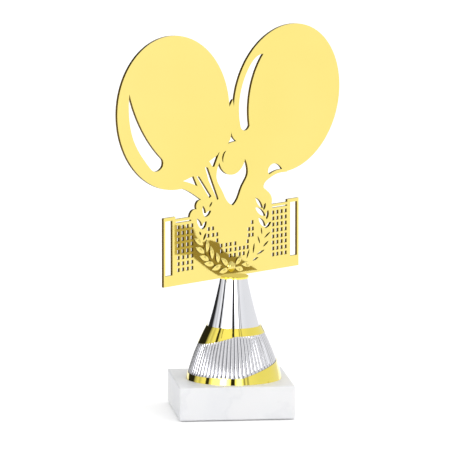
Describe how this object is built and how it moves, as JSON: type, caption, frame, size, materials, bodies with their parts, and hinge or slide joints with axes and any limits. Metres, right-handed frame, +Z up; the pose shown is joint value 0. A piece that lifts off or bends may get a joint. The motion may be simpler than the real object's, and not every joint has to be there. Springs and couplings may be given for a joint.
{
  "type": "table tennis figure trophy",
  "caption": "Award trophy: flat mirror-gold table-tennis figure on a chrome riser with gold bands, clamped to a square white marble block.",
  "frame": {"origin": "at the middle of the foam pad's underside, which rests on the table; the tie rod stands 1.7 mm along +X from it", "axes": "+Z up, -Y out of the marble block's front face, +X to the right of somebody who faces it"},
  "size_m": [0.1504, 0.1296, 0.2345],
  "materials": {
    "foam": "thin white foam sheet",
    "marble": "white marble with faint grey clouds, honed",
    "zinc_steel": "zinc-plated steel",
    "bright_gold": "metallised mirror gold",
    "chromed_plastic": "metallised plastic, mirror chrome",
    "gold_metal": "polished and gold plated"
  },
  "bodies": {
    "root": {"base_pad": "foam", "marble_base": "marble", "base_washer": "zinc_steel", "base_nut": "zinc_steel", "tie_rod": "zinc_steel", "foot_ring": "bright_gold", "fluted_skirt": "chromed_plastic", "gold_collar": "bright_gold", "riser_neck": "chromed_plastic", "figure_foot": "bright_gold", "figure_plate": "gold_metal"}
  },
  "joints": []
}
